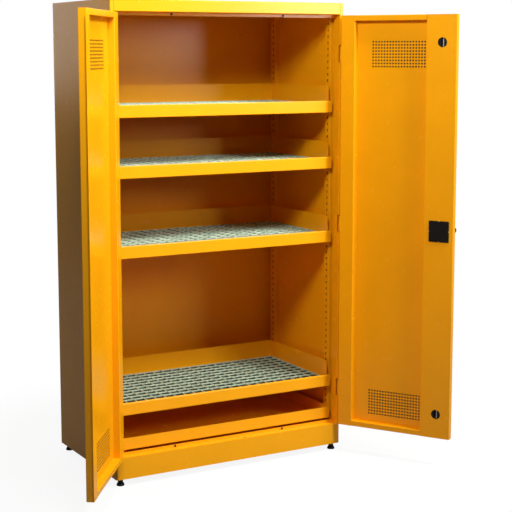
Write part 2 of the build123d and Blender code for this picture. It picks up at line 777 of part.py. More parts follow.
# Lock inside the right door
with BuildPart() as lock_case:
    folded_sheet(
        RIGHT.offset(LOCK_HEIGHT - CASE_HEIGHT / 2),
        [
            (-LOCK_ALONG - CASE_WIDTH / 2, INNER - SHEET - CASE_TOP_GAP),
            (-LOCK_ALONG - CASE_WIDTH / 2, OUTER + SHEET + MID),
            (-LOCK_ALONG + CASE_WIDTH / 2, OUTER + SHEET + MID),
            (-LOCK_ALONG + CASE_WIDTH / 2, INNER - SHEET - CASE_TOP_GAP),
        ],
        CASE_HEIGHT,
    )
    with BuildSketch(door_face(RIGHT, OUTER)):
        with Locations((-LOCK_ALONG, LOCK_HEIGHT)):
            Circle(SPINDLE_HOLE_RADIUS)
    extrude(amount=-4 * SHEET, mode=Mode.SUBTRACT)
save(lock_case.part, "lock_case")

with BuildPart() as lock_cam:
    with BuildSketch(door_face(RIGHT, CAM_AT)):
        with Locations((-LOCK_ALONG, LOCK_HEIGHT)):
            Circle(CAM_RADIUS)
            Rectangle(SPINDLE, SPINDLE, mode=Mode.SUBTRACT)
    extrude(amount=-CAM_THICK)
    with BuildSketch(door_face(RIGHT, CAM_AT + CAM_THICK)):
        with Locations((-LOCK_ALONG, LOCK_HEIGHT)):
            with PolarLocations(CRANK_RADIUS, 2, start_angle=-CRANK_ANGLE):
                Circle(CRANK_PIN_RADIUS)
    extrude(amount=-CRANK_PIN_LENGTH)
save(lock_cam.part, "lock_cam")

with BuildPart() as lock_spindle:
    with BuildSketch(door_face(RIGHT, CAM_AT + CAM_THICK)):
        with Locations((-LOCK_ALONG, LOCK_HEIGHT)):
            Rectangle(SPINDLE, SPINDLE)
    extrude(amount=CAM_AT + CAM_THICK - OUTER + ROSE_THICK + HUB_GAP + SPINDLE_SEAT)
save(lock_spindle.part, "lock_spindle")


def bolt_rod(up, name):
    """Locking rod with the slotted yoke that a pin of the cam drives, up for 1 and down for -1."""
    crank = CRANK_RADIUS * sin(radians(CRANK_ANGLE))
    slot_low, slot_high = crank - CRANK_PIN_RADIUS - YOKE_PLAY, CRANK_RADIUS + CRANK_PIN_RADIUS + YOKE_PLAY
    slot_half = CRANK_PIN_RADIUS + YOKE_PLAY
    yoke_ends = (slot_low - YOKE_WALL, slot_high + YOKE_WALL)
    yoke_base = -crank - slot_half - YOKE_WALL
    rod_end = (DOOR_TOP - ROD_END if up > 0 else DOOR_BOTTOM + ROD_END) - LOCK_HEIGHT
    outline = (
        (yoke_ends[0], yoke_base),
        (yoke_ends[1], yoke_base),
        (yoke_ends[1], ROD_START + ROD_RADIUS),
        (-ROD_RADIUS, ROD_START + ROD_RADIUS),
        (-ROD_RADIUS, ROD_START - ROD_RADIUS),
        (yoke_ends[0], ROD_START - ROD_RADIUS),
    )
    with BuildPart() as rod:
        with BuildSketch(RIGHT.offset(LOCK_HEIGHT + up * ROD_START)) as section:
            with Locations((-LOCK_ALONG, ROD_AT)):
                Circle(ROD_RADIUS)
        extrude(section.sketch, amount=rod_end - up * ROD_START)
        with BuildSketch(door_face(RIGHT, ROD_AT + YOKE_THICK / 2)) as yoke:
            with BuildLine():
                Polyline(*[(up * x - LOCK_ALONG, up * y + LOCK_HEIGHT) for x, y in outline], close=True)
            make_face()
            with Locations((up * (slot_low + slot_high) / 2 - LOCK_ALONG, LOCK_HEIGHT - up * crank)):
                Rectangle(slot_high - slot_low, 2 * slot_half, mode=Mode.SUBTRACT)
        extrude(yoke.sketch, amount=YOKE_THICK)
    save(rod.part, name)


bolt_rod(1, "upper_rod")
bolt_rod(-1, "lower_rod")

with BuildPart() as rod_guides:
    with BuildSketch(door_face(RIGHT, OUTER + SHEET)):
        with Locations(*[(-LOCK_ALONG, height) for height in WINDOW_HEIGHTS]):
            Circle(WINDOW_RADIUS - GUIDE_PLAY)
    extrude(amount=-(DOOR_THICK - 2 * SHEET - GUIDE_RECESS))
    with BuildSketch(door_face(RIGHT, ROD_AT - ROD_RADIUS - ROD_PLAY)):
        with Locations(*[(-LOCK_ALONG, height) for height in WINDOW_HEIGHTS]):
            Rectangle(2 * (ROD_RADIUS + ROD_PLAY), 2 * WINDOW_RADIUS)
    extrude(amount=-DOOR_THICK, mode=Mode.SUBTRACT)
save(rod_guides.part, "rod_guides")

with BuildPart() as lock_cover:
    with BuildSketch(door_face(RIGHT, INNER)):
        with Locations((-LOCK_ALONG, LOCK_HEIGHT)):
            RectangleRounded(COVER, COVER, COVER_CORNER)
            with PolarLocations(COVER / 2, 4):
                Rectangle(2 * COVER_NOTCH_DEPTH, COVER_NOTCH_WIDTH, mode=Mode.SUBTRACT)
    extrude(amount=-COVER_THICK)
    with BuildSketch(door_face(RIGHT, INNER)):
        with Locations((-LOCK_ALONG, LOCK_HEIGHT)):
            with PolarLocations(COVER_OPENING / 2 - COVER_LEG_PLAY - COVER_LEG_THICK / 2, 4):
                Rectangle(COVER_LEG_THICK, COVER_LEG_WIDTH)
    extrude(amount=COVER_LEG)
save(lock_cover.part, "lock_cover")

# Handle on the outside of the right door
with BuildPart() as handle_rose:
    with BuildSketch(door_face(RIGHT, OUTER)):
        with Locations((-LOCK_ALONG, LOCK_HEIGHT)):
            Circle(ROSE_RADIUS)
            Circle(SPINDLE_HOLE_RADIUS, mode=Mode.SUBTRACT)
    extrude(amount=ROSE_THICK)
    rose_edge = handle_rose.edges().filter_by(GeomType.CIRCLE).group_by(SortBy.RADIUS)[-1]
    chamfer(rose_edge.sort_by(Axis(door_face(RIGHT, OUTER).origin, door_face(RIGHT, OUTER).z_dir))[-1], SHEET)
save(handle_rose.part, "handle_rose")

HUB_START = OUTER - ROSE_THICK - HUB_GAP
GRIP_START = HUB_START - HUB_LENGTH
GRIP_FACE = GRIP_START - GRIP_THICK

with BuildPart() as handle_hub:
    with BuildSketch(door_face(RIGHT, HUB_START)):
        with Locations((-LOCK_ALONG, LOCK_HEIGHT)):
            Circle(HUB_RADIUS)
    extrude(amount=HUB_LENGTH)
    with BuildSketch(door_face(RIGHT, HUB_START)):
        with Locations((-LOCK_ALONG, LOCK_HEIGHT)):
            Rectangle(SPINDLE, SPINDLE)
    extrude(amount=SPINDLE_SEAT, mode=Mode.SUBTRACT)
save(handle_hub.part, "handle_hub")

with BuildPart() as handle_grip:
    with BuildSketch(door_face(RIGHT, GRIP_START)):
        with Locations((-LOCK_ALONG, LOCK_HEIGHT)):
            SlotOverall(GRIP_LENGTH, GRIP_WIDTH)
    extrude(amount=GRIP_THICK)
    grip_axis = Axis(door_face(RIGHT, GRIP_START).origin, door_face(RIGHT, GRIP_START).z_dir)
    fillet(handle_grip.faces().sort_by(grip_axis)[-1].edges(), GRIP_EDGE)
    with BuildSketch(door_face(RIGHT, GRIP_FACE)):
        with Locations((-LOCK_ALONG, LOCK_HEIGHT)):
            Circle(CYLINDER_RADIUS + CYLINDER_PLAY)
    extrude(amount=-CYLINDER_LENGTH, mode=Mode.SUBTRACT)
save(handle_grip.part, "handle_grip")

with BuildPart() as lock_cylinder:
    with BuildSketch(door_face(RIGHT, GRIP_FACE + CYLINDER_LENGTH - CYLINDER_PLAY)):
        with Locations((-LOCK_ALONG, LOCK_HEIGHT)):
            Circle(CYLINDER_RADIUS)
    extrude(amount=CYLINDER_LENGTH + CYLINDER_PROUD)
    with BuildSketch(door_face(RIGHT, GRIP_FACE - CYLINDER_PROUD)):
        with Locations((-LOCK_ALONG, LOCK_HEIGHT)):
            Rectangle(KEYWAY_WIDTH, KEYWAY_LENGTH)
    extrude(amount=-KEYWAY_DEPTH, mode=Mode.SUBTRACT)
save(lock_cylinder.part, "lock_cylinder")
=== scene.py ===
"""Finishes, fittings and studio for the two-door safety cabinet with sump shelves and a spill tray."""

import json
import math

import bpy
from bpy.props import FloatProperty, FloatVectorProperty, IntProperty, PointerProperty
from bpy.types import Operator, Panel, PropertyGroup
from mathutils import Matrix, Vector


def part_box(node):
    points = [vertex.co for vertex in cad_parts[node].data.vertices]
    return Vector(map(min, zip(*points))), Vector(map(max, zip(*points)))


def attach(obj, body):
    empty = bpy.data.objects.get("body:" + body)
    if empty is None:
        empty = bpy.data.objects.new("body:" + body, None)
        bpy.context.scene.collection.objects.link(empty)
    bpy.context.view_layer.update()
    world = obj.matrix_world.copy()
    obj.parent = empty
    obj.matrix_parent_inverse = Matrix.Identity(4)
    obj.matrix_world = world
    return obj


bl_info = {
    "name": "Safety Cabinet",
    "version": (1, 0, 0),
    "blender": (4, 5, 0),
    "location": "View3D > Sidebar > Cabinet",
    "description": "Dresses the packed safety cabinet with finishes, fittings and a studio",
    "category": "Object",
}

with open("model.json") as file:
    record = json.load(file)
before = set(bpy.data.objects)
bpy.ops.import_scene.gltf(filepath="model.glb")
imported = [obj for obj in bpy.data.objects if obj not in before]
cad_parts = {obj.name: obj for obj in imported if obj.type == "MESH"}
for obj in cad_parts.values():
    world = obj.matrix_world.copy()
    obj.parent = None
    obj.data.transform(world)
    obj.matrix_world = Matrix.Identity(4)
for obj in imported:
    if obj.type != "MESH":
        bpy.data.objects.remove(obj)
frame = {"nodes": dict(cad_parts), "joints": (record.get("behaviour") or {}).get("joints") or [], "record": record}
NODES = frame["nodes"]
JOINTS = {joint["name"]: joint for joint in frame["joints"]}
NODE_SLOTS = {entry["node"]: entry["material_slot"] for entry in frame["record"]["subparts"]}
MOUNTS = {mount["name"]: mount for mount in frame["record"]["mounts"]}
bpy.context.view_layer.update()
FINISHES = {
    "yellow_paint": "powder_coat",
    "galvanised_steel": "galvanised_bars",
    "zinc_steel": "zinc_plate",
    "black_plastic": "black_moulding",
    "black_metal": "black_casting",
    "black_rubber": "black_buffer",
}

SHEET = 0.0015
SHELF_STEP = 0.025
BAR_ROUND = 0.0002
SMOOTH_ANGLE = math.radians(35)
# Hinge leaves on a door: their height, their face from the hinge axis, and their screws in from it and up
LEAF_HEIGHT = 0.03
LEAF_FACE = 0.0105
SCREW_INSET = 0.012
SCREW_RISES = (0.008, 0.022)
# Places on a door, along it from the hinge, up from the floor and in from its skin
VENT_ALONG = 0.252
VENT_DEPTH = -0.00125
VENT_HEIGHTS = (0.2205, 1.6205)
LOCK_ALONG = 0.434
LOCK_HEIGHT = 0.940
LOCK_FACE = 0.029
LOCK_REACH = 0.0398
# Tone spread, roughness range and specular level of the paint
PAINT_SURFACE = (0.07, (0.22, 0.3), 0.3)
# Peel scale, peel depth, tone spread, roughness range and specular level of the black surfaces
BLACKS = {
    "black_moulding": (1400.0, 0.00008, 0.3, (0.4, 0.55), 0.2),
    "black_casting": (900.0, 0.00012, 0.2, (0.36, 0.5), 0.25),
    "black_buffer": (700.0, 0.0002, 0.3, (0.6, 0.8), 0.5),
}
# Spangle scale, spangle, roughness range and metallic share of the plated surfaces
BARS_SURFACE = (95.0, 0.35, (0.38, 0.6), 0.3)
ZINC_SURFACE = (260.0, 0.12, (0.24, 0.42), 1.0)
PLATE_GRAIN = 0.00006
# Depth, as a share of a shelf step, over which the painted shade on the gratings fades in
PAINTED_SHADE_FADE = 0.12
# Place, aim and size of each lamp, whose power is a property of the studio
LAMPS = {
    "key": ((1.45, -2.3, 3.6), (0, -0.3, 0.9), 0.8),
    "front": ((-0.95, -1.75, 2.6), (0.4, -0.4, 1.0), 0.5),
    "side": ((2.4, -3.4, 2.1), (0, -0.2, 1.3), 0.8),
    "rear": ((0.0, 3.4, 3.0), (0, 0.3, 0.9), 4.0),
}
FLOOR_SIZE = 60.0
SHADOW_START = 0.7
SHADOW_END = 1.5
SENSOR = 36.0


class CabinetFinish(PropertyGroup):
    """Colours and surface detail of the cabinet."""

    paint: FloatVectorProperty(
        name="Paint", description="Yellow of the powder coat", subtype="COLOR", default=(0.93, 0.40, 0.003)
    )
    galvanised: FloatVectorProperty(
        name="Galvanised", description="Grey-green of the gratings", subtype="COLOR", default=(0.60, 0.78, 0.62)
    )
    # Painted shade: the dark colour of the gratings below their tops, standing in for the shade between the bars
    painted_shade: FloatVectorProperty(
        name="Painted Shade", description="Gratings below their rubbed tops", subtype="COLOR", default=(0.035, 0.07, 0.045)
    )
    # Share of a shelf step at the bars' tops that the painted shade leaves clear
    painted_shade_onset: FloatProperty(
        name="Painted Shade Onset", description="Share of a shelf step that is rubbed bright", default=0.14, min=0.0, max=1.0
    )
    zinc: FloatVectorProperty(
        name="Zinc", description="Plated fittings", subtype="COLOR", default=(0.62, 0.62, 0.60)
    )
    black: FloatVectorProperty(
        name="Black", description="Plastic and coated castings", subtype="COLOR", default=(0.004, 0.004, 0.0045)
    )
    peel_scale: FloatProperty(
        name="Peel Scale", description="Fineness of the powder coat's texture", default=320.0, min=1.0
    )
    peel_depth: FloatProperty(
        name="Peel Depth", description="Height of the powder coat's texture", default=0.00012, unit="LENGTH"
    )


class CabinetFittings(PropertyGroup):
    """Sizes of the small fittings added to the cabinet, and of the dark pieces of painted shade in the vent holes
    and the uprights.
    """

    screw_radius: FloatProperty(
        name="Screw Radius", description="Radius of the hinge screws' heads", default=0.0034, unit="LENGTH"
    )
    screw_height: FloatProperty(
        name="Screw Height", description="Height of the hinge screws' heads", default=0.0018, unit="LENGTH"
    )
    vent_columns: IntProperty(
        name="Vent Columns", description="Holes across one vent of a door", default=20, min=1
    )
    vent_rows: IntProperty(name="Vent Rows", description="Holes up one vent of a door", default=9, min=1)
    vent_pitch: FloatProperty(
        name="Vent Pitch", description="Distance between the holes of a vent", default=0.012, unit="LENGTH"
    )
    # Painted shade: size of the dark plug in each vent hole and of its rim, which lies over the paint round the
    # hole
    vent_shade_radius: FloatProperty(
        name="Gauze Radius", description="Radius of the gauze set in each hole", default=0.00245, unit="LENGTH"
    )
    vent_shade_rim: FloatProperty(
        name="Gauze Rim", description="Size of the gauze's rim against its radius", default=1.5, min=1.0
    )
    # Painted shade: room round the dark sheets set inside the uprights to darken their slots
    shade_sheet_gap: FloatProperty(
        name="Liner Gap", description="Room round the liners inside the uprights", default=0.0025, unit="LENGTH"
    )
    cap_radius: FloatProperty(
        name="Cap Radius", description="Radius of the caps on the wall fixing holes", default=0.0075, unit="LENGTH"
    )
    clip_length: FloatProperty(
        name="Clip Length", description="Length of the lock cover's clip ends", default=0.0052, unit="LENGTH"
    )


class CabinetStudio(PropertyGroup):
    """Camera, lamps and floor."""

    lens: FloatProperty(name="Lens", description="Focal length in millimetres", default=92.36, min=1.0)
    place: FloatVectorProperty(
        name="Camera",
        description="Place of the camera",
        subtype="TRANSLATION",
        default=(-2.4012, -4.696, 1.6319),
    )
    yaw: FloatProperty(
        name="Yaw", description="Turn of the camera to the right", subtype="ANGLE", default=0.5163
    )
    pitch: FloatProperty(name="Pitch", description="Tilt of the camera", subtype="ANGLE", default=-0.13558)
    shift: FloatProperty(name="Shift", description="Vertical shift of the lens", default=-0.05)
    key: FloatProperty(name="Key", description="Power of the key lamp in watts", default=150.0, min=0.0)
    front: FloatProperty(name="Front", description="Power of the front lamp in watts", default=36.0, min=0.0)
    side: FloatProperty(name="Side", description="Power of the side lamp in watts", default=40.0, min=0.0)
    rear: FloatProperty(name="Rear", description="Power of the rear lamp in watts", default=110.0, min=0.0)
    ambient: FloatProperty(name="Ambient", description="Strength of the surrounding light", default=0.03, min=0.0)
    mirrored: FloatProperty(
        name="Mirrored",
        description="Share of the background that reflections show",
        default=0.15,
        min=0.0,
        max=1.0,
    )
    shadow: FloatProperty(
        name="Shadow", description="Share of the shadow that the floor shows", default=0.1, min=0.0, max=1.0
    )
    floor: FloatVectorProperty(
        name="Floor", description="Colour of the floor", subtype="COLOR", default=(0.93, 0.93, 0.93)
    )
    floor_bounce: FloatVectorProperty(
        name="Floor Bounce",
        description="Floor as the object sees it",
        subtype="COLOR",
        default=(0.22, 0.21, 0.20),
    )


# Shader helpers
def node_group(name, inputs, outputs):
    """New shader node group with float or colour sockets, and its two end nodes."""
    group = bpy.data.node_groups.new(name, "ShaderNodeTree")
    for label, default in inputs:
        socket = group.interface.new_socket(label, in_out="INPUT", socket_type="NodeSocketFloat")
        socket.default_value = default
    for label, kind in outputs:
        group.interface.new_socket(label, in_out="OUTPUT", socket_type=kind)
    return group, group.nodes.new("NodeGroupInput"), group.nodes.new("NodeGroupOutput")


def add_node(tree, kind, values=(), **attributes):
    """New node with attributes and input values set."""
    node = tree.nodes.new(kind)
    for key, value in attributes.items():
        setattr(node, key, value)
    for key, value in values:
        node.inputs[key].default_value = value
    return node


def maths(tree, operation, first, second):
    """Math node of two values, each a socket or a number."""
    node = tree.nodes.new("ShaderNodeMath")
    node.operation = operation
    for index, value in enumerate((first, second)):
        if isinstance(value, (int, float)):
            node.inputs[index].default_value = value
        else:
            tree.links.new(value, node.inputs[index])
    return node.outputs[0]


def ranged(tree, value, low, high):
    """Maps a value from nought to one into low to high."""
    node = add_node(tree, "ShaderNodeMapRange", (("To Min", low), ("To Max", high)))
    tree.links.new(value, node.inputs["Value"])
    return node.outputs["Result"]


def tinted(tree, blend, factor, first, second):
    """Mix node of two colours, each a socket or a colour."""
    node = tree.nodes.new("ShaderNodeMix")
    node.data_type = "RGBA"
    node.blend_type = blend
    for index, value in ((0, factor), (6, first), (7, second)):
        if isinstance(value, bpy.types.NodeSocket):
            tree.links.new(value, node.inputs[index])
        elif isinstance(value, (int, float)):
            node.inputs[index].default_value = value
        else:
            node.inputs[index].default_value = (*value, 1.0)
    return node.outputs[2]


def noise(tree, coordinates, scale, detail=2.0):
    """Noise texture value on the given coordinates."""
    node = add_node(tree, "ShaderNodeTexNoise", (("Detail", detail),))
    tree.links.new(coordinates, node.inputs["Vector"])
    if isinstance(scale, (int, float)):
        node.inputs["Scale"].default_value = scale
    else:
        tree.links.new(scale, node.inputs["Scale"])
    return node.outputs["Fac"]


def sprayed_coat_group():
    """Powder coat or moulding: fine peel, slow drift of tone and patches of gloss."""
    group, start, end = node_group(
        "Sprayed Coat",
        (("Peel Scale", 600.0), ("Tone Spread", 0.04)),
        (("Height", "NodeSocketFloat"), ("Tone", "NodeSocketFloat"), ("Gloss", "NodeSocketFloat")),
    )
    place = group.nodes.new("ShaderNodeTexCoord").outputs["Object"]
    fine = noise(group, place, start.outputs["Peel Scale"])
    broad = noise(group, place, maths(group, "MULTIPLY", start.outputs["Peel Scale"], 0.3))
    height = maths(group, "ADD", maths(group, "MULTIPLY", fine, 0.6), maths(group, "MULTIPLY", broad, 0.4))
    drift = noise(group, place, 5.0, 3.0)
    spread = maths(group, "MULTIPLY", maths(group, "SUBTRACT", drift, 0.5), start.outputs["Tone Spread"])
    grain = maths(group, "MULTIPLY", maths(group, "SUBTRACT", fine, 0.5), start.outputs["Tone Spread"])
    tone = maths(group, "ADD", maths(group, "ADD", maths(group, "MULTIPLY", spread, 2.0), grain), 1.0)
    group.links.new(height, end.inputs["Height"])
    group.links.new(tone, end.inputs["Tone"])
    group.links.new(noise(group, place, 38.0, 4.0), end.inputs["Gloss"])
    return group


def plated_group():
    """Plated metal: crystal spangle, fine brushing and handling marks."""
    group, start, end = node_group(
        "Plated Metal",
        (("Spangle Scale", 120.0), ("Spangle", 0.3)),
        (("Height", "NodeSocketFloat"), ("Tone", "NodeSocketFloat"), ("Marks", "NodeSocketFloat")),
    )
    place = group.nodes.new("ShaderNodeTexCoord").outputs["Object"]
    cells = group.nodes.new("ShaderNodeTexVoronoi")
    group.links.new(place, cells.inputs["Vector"])
    group.links.new(start.outputs["Spangle Scale"], cells.inputs["Scale"])
    split = group.nodes.new("ShaderNodeSeparateColor")
    group.links.new(cells.outputs["Color"], split.inputs[0])
    lift = maths(group, "MULTIPLY", maths(group, "SUBTRACT", split.outputs[0], 0.5), start.outputs["Spangle"])
    cloud = maths(group, "MULTIPLY", maths(group, "SUBTRACT", noise(group, place, 14.0, 4.0), 0.5), 0.3)
    group.links.new(maths(group, "ADD", maths(group, "ADD", lift, cloud), 1.0), end.inputs["Tone"])
    group.links.new(noise(group, place, 900.0), end.inputs["Height"])
    group.links.new(noise(group, place, 60.0, 5.0), end.inputs["Marks"])
    return group


def new_material(name):
    """New node material, its tree and its shader."""
    material = bpy.data.materials.new(name)
    material.use_nodes = True
    return material, material.node_tree, material.node_tree.nodes["Principled BSDF"]


def bumped(tree, shader, height, distance):
    """Feeds a height into the shader's normal."""
    bump = add_node(tree, "ShaderNodeBump", (("Distance", distance),))
    tree.links.new(height, bump.inputs["Height"])
    tree.links.new(bump.outputs["Normal"], shader.inputs["Normal"])


def coated(name, group, colour, peel_scale, peel_depth, spread, rough, specular):
    """Sprayed or moulded surface with its own colour, peel, roughness range and specular level."""
    tree, shader = new_material(name)[1:]
    coat = add_node(tree, "ShaderNodeGroup", node_tree=group)
    coat.inputs["Peel Scale"].default_value = peel_scale
    coat.inputs["Tone Spread"].default_value = spread
    colour = tinted(tree, "MULTIPLY", 1.0, colour, coat.outputs["Tone"])
    tree.links.new(colour, shader.inputs["Base Color"])
    tree.links.new(ranged(tree, coat.outputs["Gloss"], *rough), shader.inputs["Roughness"])
    shader.inputs["Specular IOR Level"].default_value = specular
    bumped(tree, shader, coat.outputs["Height"], peel_depth)


def plated(name, group, colour, spangle_scale, spangle, rough, metallic):
    """Plated metal with its own colour, spangle, roughness range and metallic share, and its shader."""
    tree, shader = new_material(name)[1:]
    plate = add_node(tree, "ShaderNodeGroup", node_tree=group)
    plate.inputs["Spangle Scale"].default_value = spangle_scale
    plate.inputs["Spangle"].default_value = spangle
    colour = tinted(tree, "MULTIPLY", 1.0, colour, plate.outputs["Tone"])
    tree.links.new(colour, shader.inputs["Base Color"])
    tree.links.new(ranged(tree, plate.outputs["Marks"], *rough), shader.inputs["Roughness"])
    shader.inputs["Metallic"].default_value = metallic
    bumped(tree, shader, plate.outputs["Height"], PLATE_GRAIN)
    return shader


# Mesh helpers
def clear_selection():
    """Leaves nothing selected, in object mode."""
    if bpy.context.object and bpy.context.object.mode != "OBJECT":
        bpy.ops.object.mode_set(mode="OBJECT")
    bpy.ops.object.select_all(action="DESELECT")


def set_down(piece, name, body, slot):
    """Names a finished piece, puts its place into its mesh and lets it ride on a body."""
    clear_selection()
    piece.select_set(True)
    bpy.context.view_layer.objects.active = piece
    bpy.ops.object.transform_apply(location=True, rotation=True, scale=True)
    piece.name = name
    piece.data.name = name
    piece.data.materials.clear()
    piece.data.materials.append(bpy.data.materials[FINISHES[slot]])
    bpy.ops.object.shade_smooth_by_angle(angle=SMOOTH_ANGLE)
    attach(piece, body)


def repeat(piece, places):
    """Copies a modelled piece to each matrix and joins the copies into one object."""
    clear_selection()
    copies = []
    for place in places:
        copy = piece.copy()
        copy.data = piece.data.copy()
        copy.matrix_world = place @ piece.matrix_world
        bpy.context.collection.objects.link(copy)
        copies.append(copy)
    bpy.data.objects.remove(piece)
    bpy.context.view_layer.update()
    for copy in copies:
        copy.select_set(True)
    bpy.context.view_layer.objects.active = copies[0]
    bpy.ops.object.join()
    return copies[0]


def select_faces(piece, test):
    """Selects the faces whose centre and normal pass the test, from object mode into edit mode."""
    bpy.ops.object.mode_set(mode="EDIT")
    bpy.ops.mesh.select_mode(type="FACE")
    bpy.ops.mesh.select_all(action="DESELECT")
    bpy.ops.object.mode_set(mode="OBJECT")
    for face in piece.data.polygons:
        face.select = bool(test(face.center, face.normal))
    bpy.ops.object.mode_set(mode="EDIT")


def door_place(side):
    """Matrix of a door at rest: origin on its hinge axis, x along it, y to its inner face."""
    joint = JOINTS["right_door_hinge" if side > 0 else "left_door_hinge"]
    turn = Matrix.Rotation(-side * math.radians(joint["range_deg"][0]), 4, "Z")
    return Matrix.Translation(Vector(joint["pos_m"])) @ turn


class CABINET_OT_finishes(Operator):
    """Makes the finishes and puts one on every node of the frame"""

    bl_idname = "cabinet.finishes"
    bl_label = "Finishes"

    def execute(self, context):
        finish = context.scene.cabinet_finish
        coat, plate = sprayed_coat_group(), plated_group()
        coated("powder_coat", coat, finish.paint, finish.peel_scale, finish.peel_depth, *PAINT_SURFACE)
        for name, surface in BLACKS.items():
            coated(name, coat, finish.black, *surface)
        self.bars(plate, finish)
        plated("zinc_plate", plate, finish.zinc, *ZINC_SURFACE)
        for name, node in NODES.items():
            node.data.materials.clear()
            node.data.materials.append(bpy.data.materials[FINISHES[NODE_SLOTS[name]]])
        return {"FINISHED"}

    def bars(self, plate, finish):
        """Galvanised bars with painted shade: lighter along their tops and darker down each shelf step, standing
        in for the shade between the bars.
        """
        shader = plated("galvanised_bars", plate, finish.galvanised, *BARS_SURFACE)
        tree = shader.id_data
        bright = shader.inputs["Base Color"].links[0].from_socket
        # Painted shade: the galvanised colour turns to the shade colour with depth below the top of each shelf
        # step
        split = tree.nodes.new("ShaderNodeSeparateXYZ")
        tree.links.new(tree.nodes.new("ShaderNodeTexCoord").outputs["Object"], split.inputs[0])
        lowered = maths(tree, "SUBTRACT", split.outputs["Z"], BAR_ROUND)
        steps = maths(tree, "DIVIDE", lowered, SHELF_STEP)
        down = maths(tree, "SUBTRACT", 1.0, maths(tree, "FRACT", steps, 0.0))
        edges = (("From Min", finish.painted_shade_onset), ("From Max", finish.painted_shade_onset + PAINTED_SHADE_FADE))
        painted_shade_onset = add_node(tree, "ShaderNodeMapRange", edges)
        tree.links.new(down, painted_shade_onset.inputs["Value"])
        colour = tinted(tree, "MIX", painted_shade_onset.outputs["Result"], bright, finish.painted_shade)
        tree.links.new(colour, shader.inputs["Base Color"])


class CABINET_OT_hinge_screws(Operator):
    """Sets two round-headed screws in each hinge leaf on the doors"""

    bl_idname = "cabinet.hinge_screws"
    bl_label = "Hinge Screws"

    def execute(self, context):
        sizes = context.scene.cabinet_fittings
        for side, word in ((-1, "left"), (1, "right")):
            low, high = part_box(f"{word}_hinge_door_leaves")
            top = high.z - LEAF_HEIGHT
            heights = (low.z, (low.z + top) / 2, top)
            clear_selection()
            radius, tall = sizes.screw_radius, sizes.screw_height
            bpy.ops.mesh.primitive_cylinder_add(vertices=24, radius=radius, depth=tall, location=(0, 0, tall / 2))
            screw = bpy.context.object
            bpy.ops.object.transform_apply(location=True)
            select_faces(screw, lambda centre, normal: normal.z > 0.9)
            bpy.ops.mesh.inset(thickness=radius * 0.3, depth=tall * 0.25)
            bpy.ops.mesh.inset(thickness=radius * 0.35, depth=-tall * 0.5)
            bpy.ops.object.mode_set(mode="OBJECT")
            face = Matrix.Rotation(math.radians(90 * side), 4, "Y")
            places = [
                door_place(side) @ Matrix.Translation((-side * LEAF_FACE, SCREW_INSET, height + rise)) @ face
                for height in heights
                for rise in SCREW_RISES
            ]
            set_down(repeat(screw, places), f"{word}_hinge_screws", f"{word}_door", "zinc_steel")
        return {"FINISHED"}


class CABINET_OT_vent_shade(Operator):
    """Sets a rimmed dark plug in each ventilation hole of the doors, painted shade that darkens each hole and a
    ring round it
    """

    bl_idname = "cabinet.vent_gauze"
    bl_label = "Vent Gauze"

    def execute(self, context):
        sizes = context.scene.cabinet_fittings
        pitch = sizes.vent_pitch
        radius = sizes.vent_shade_radius
        for side, word in ((-1, "left"), (1, "right")):
            clear_selection()
            bpy.ops.mesh.primitive_cylinder_add(vertices=10, radius=radius, depth=SHEET)
            disc = bpy.context.object
            for end in (-1, 1):
                select_faces(disc, lambda centre, normal: end * normal.z > 0.9 and end * centre.z > 0)
                bpy.ops.mesh.extrude_region_move()
                bpy.ops.transform.resize(value=(sizes.vent_shade_rim, sizes.vent_shade_rim, 1.0))
                bpy.ops.mesh.extrude_region_move(TRANSFORM_OT_translate={"value": (0, 0, end * SHEET * 0.1)})
                bpy.ops.object.mode_set(mode="OBJECT")
            disc.rotation_euler = (math.pi / 2, 0, 0)
            bpy.ops.object.transform_apply(location=False, rotation=True, scale=False)
            for axis, count in ((0, sizes.vent_columns), (2, sizes.vent_rows)):
                row = disc.modifiers.new("row", "ARRAY")
                row.count = count
                row.use_relative_offset = False
                row.use_constant_offset = True
                row.constant_offset_displace = [pitch if axis == index else 0.0 for index in range(3)]
                bpy.ops.object.modifier_apply(modifier=row.name)
            reach = (sizes.vent_columns - 1) * pitch / 2
            drop = (sizes.vent_rows - 1) * pitch / 2
            places = [
                door_place(side) @ Matrix.Translation((-side * VENT_ALONG - reach, VENT_DEPTH, height - drop))
                for height in VENT_HEIGHTS
            ]
            # The dark plugs are painted shade in and round the vent holes
            set_down(repeat(disc, places), f"{word}_vent_gauze", f"{word}_door", "black_metal")
        return {"FINISHED"}


class CABINET_OT_upright_shade_sheets(Operator):
    """Puts a dark sheet inside each slotted upright, behind the hooks of the shelf clips: painted shade that
    darkens the slots
    """

    bl_idname = "cabinet.upright_liners"
    bl_label = "Upright Liners"

    def execute(self, context):
        sizes = context.scene.cabinet_fittings
        low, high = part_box("right_front_upright")
        wide = high.y - low.y - 2 * SHEET
        clear_selection()
        bpy.ops.mesh.primitive_cube_add(size=1.0)
        shade_sheet = bpy.context.object
        shade_sheet.scale = (SHEET, wide - sizes.shade_sheet_gap / 2, high.z - low.z - 2 * sizes.shade_sheet_gap)
        bpy.ops.object.transform_apply(location=False, rotation=False, scale=True)
        select_faces(shade_sheet, lambda centre, normal: abs(normal.x) > 0.9)
        bpy.ops.mesh.inset(thickness=wide * 0.08, depth=-SHEET * 0.2, use_individual=True)
        bpy.ops.object.mode_set(mode="OBJECT")
        places = []
        for side, word in ((-1, "left"), (1, "right")):
            for end in ("front", "rear"):
                low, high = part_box(f"{word}_{end}_upright")
                face = low.x if side > 0 else high.x
                middle = (low + high) / 2
                inside = face + side * (2 * SHEET + sizes.shade_sheet_gap)
                places.append(Matrix.Translation((inside, middle.y, middle.z)))
        # The dark sheets are painted shade behind the slots
        set_down(repeat(shade_sheet, places), "upright_liners", "carcass", "black_plastic")
        return {"FINISHED"}


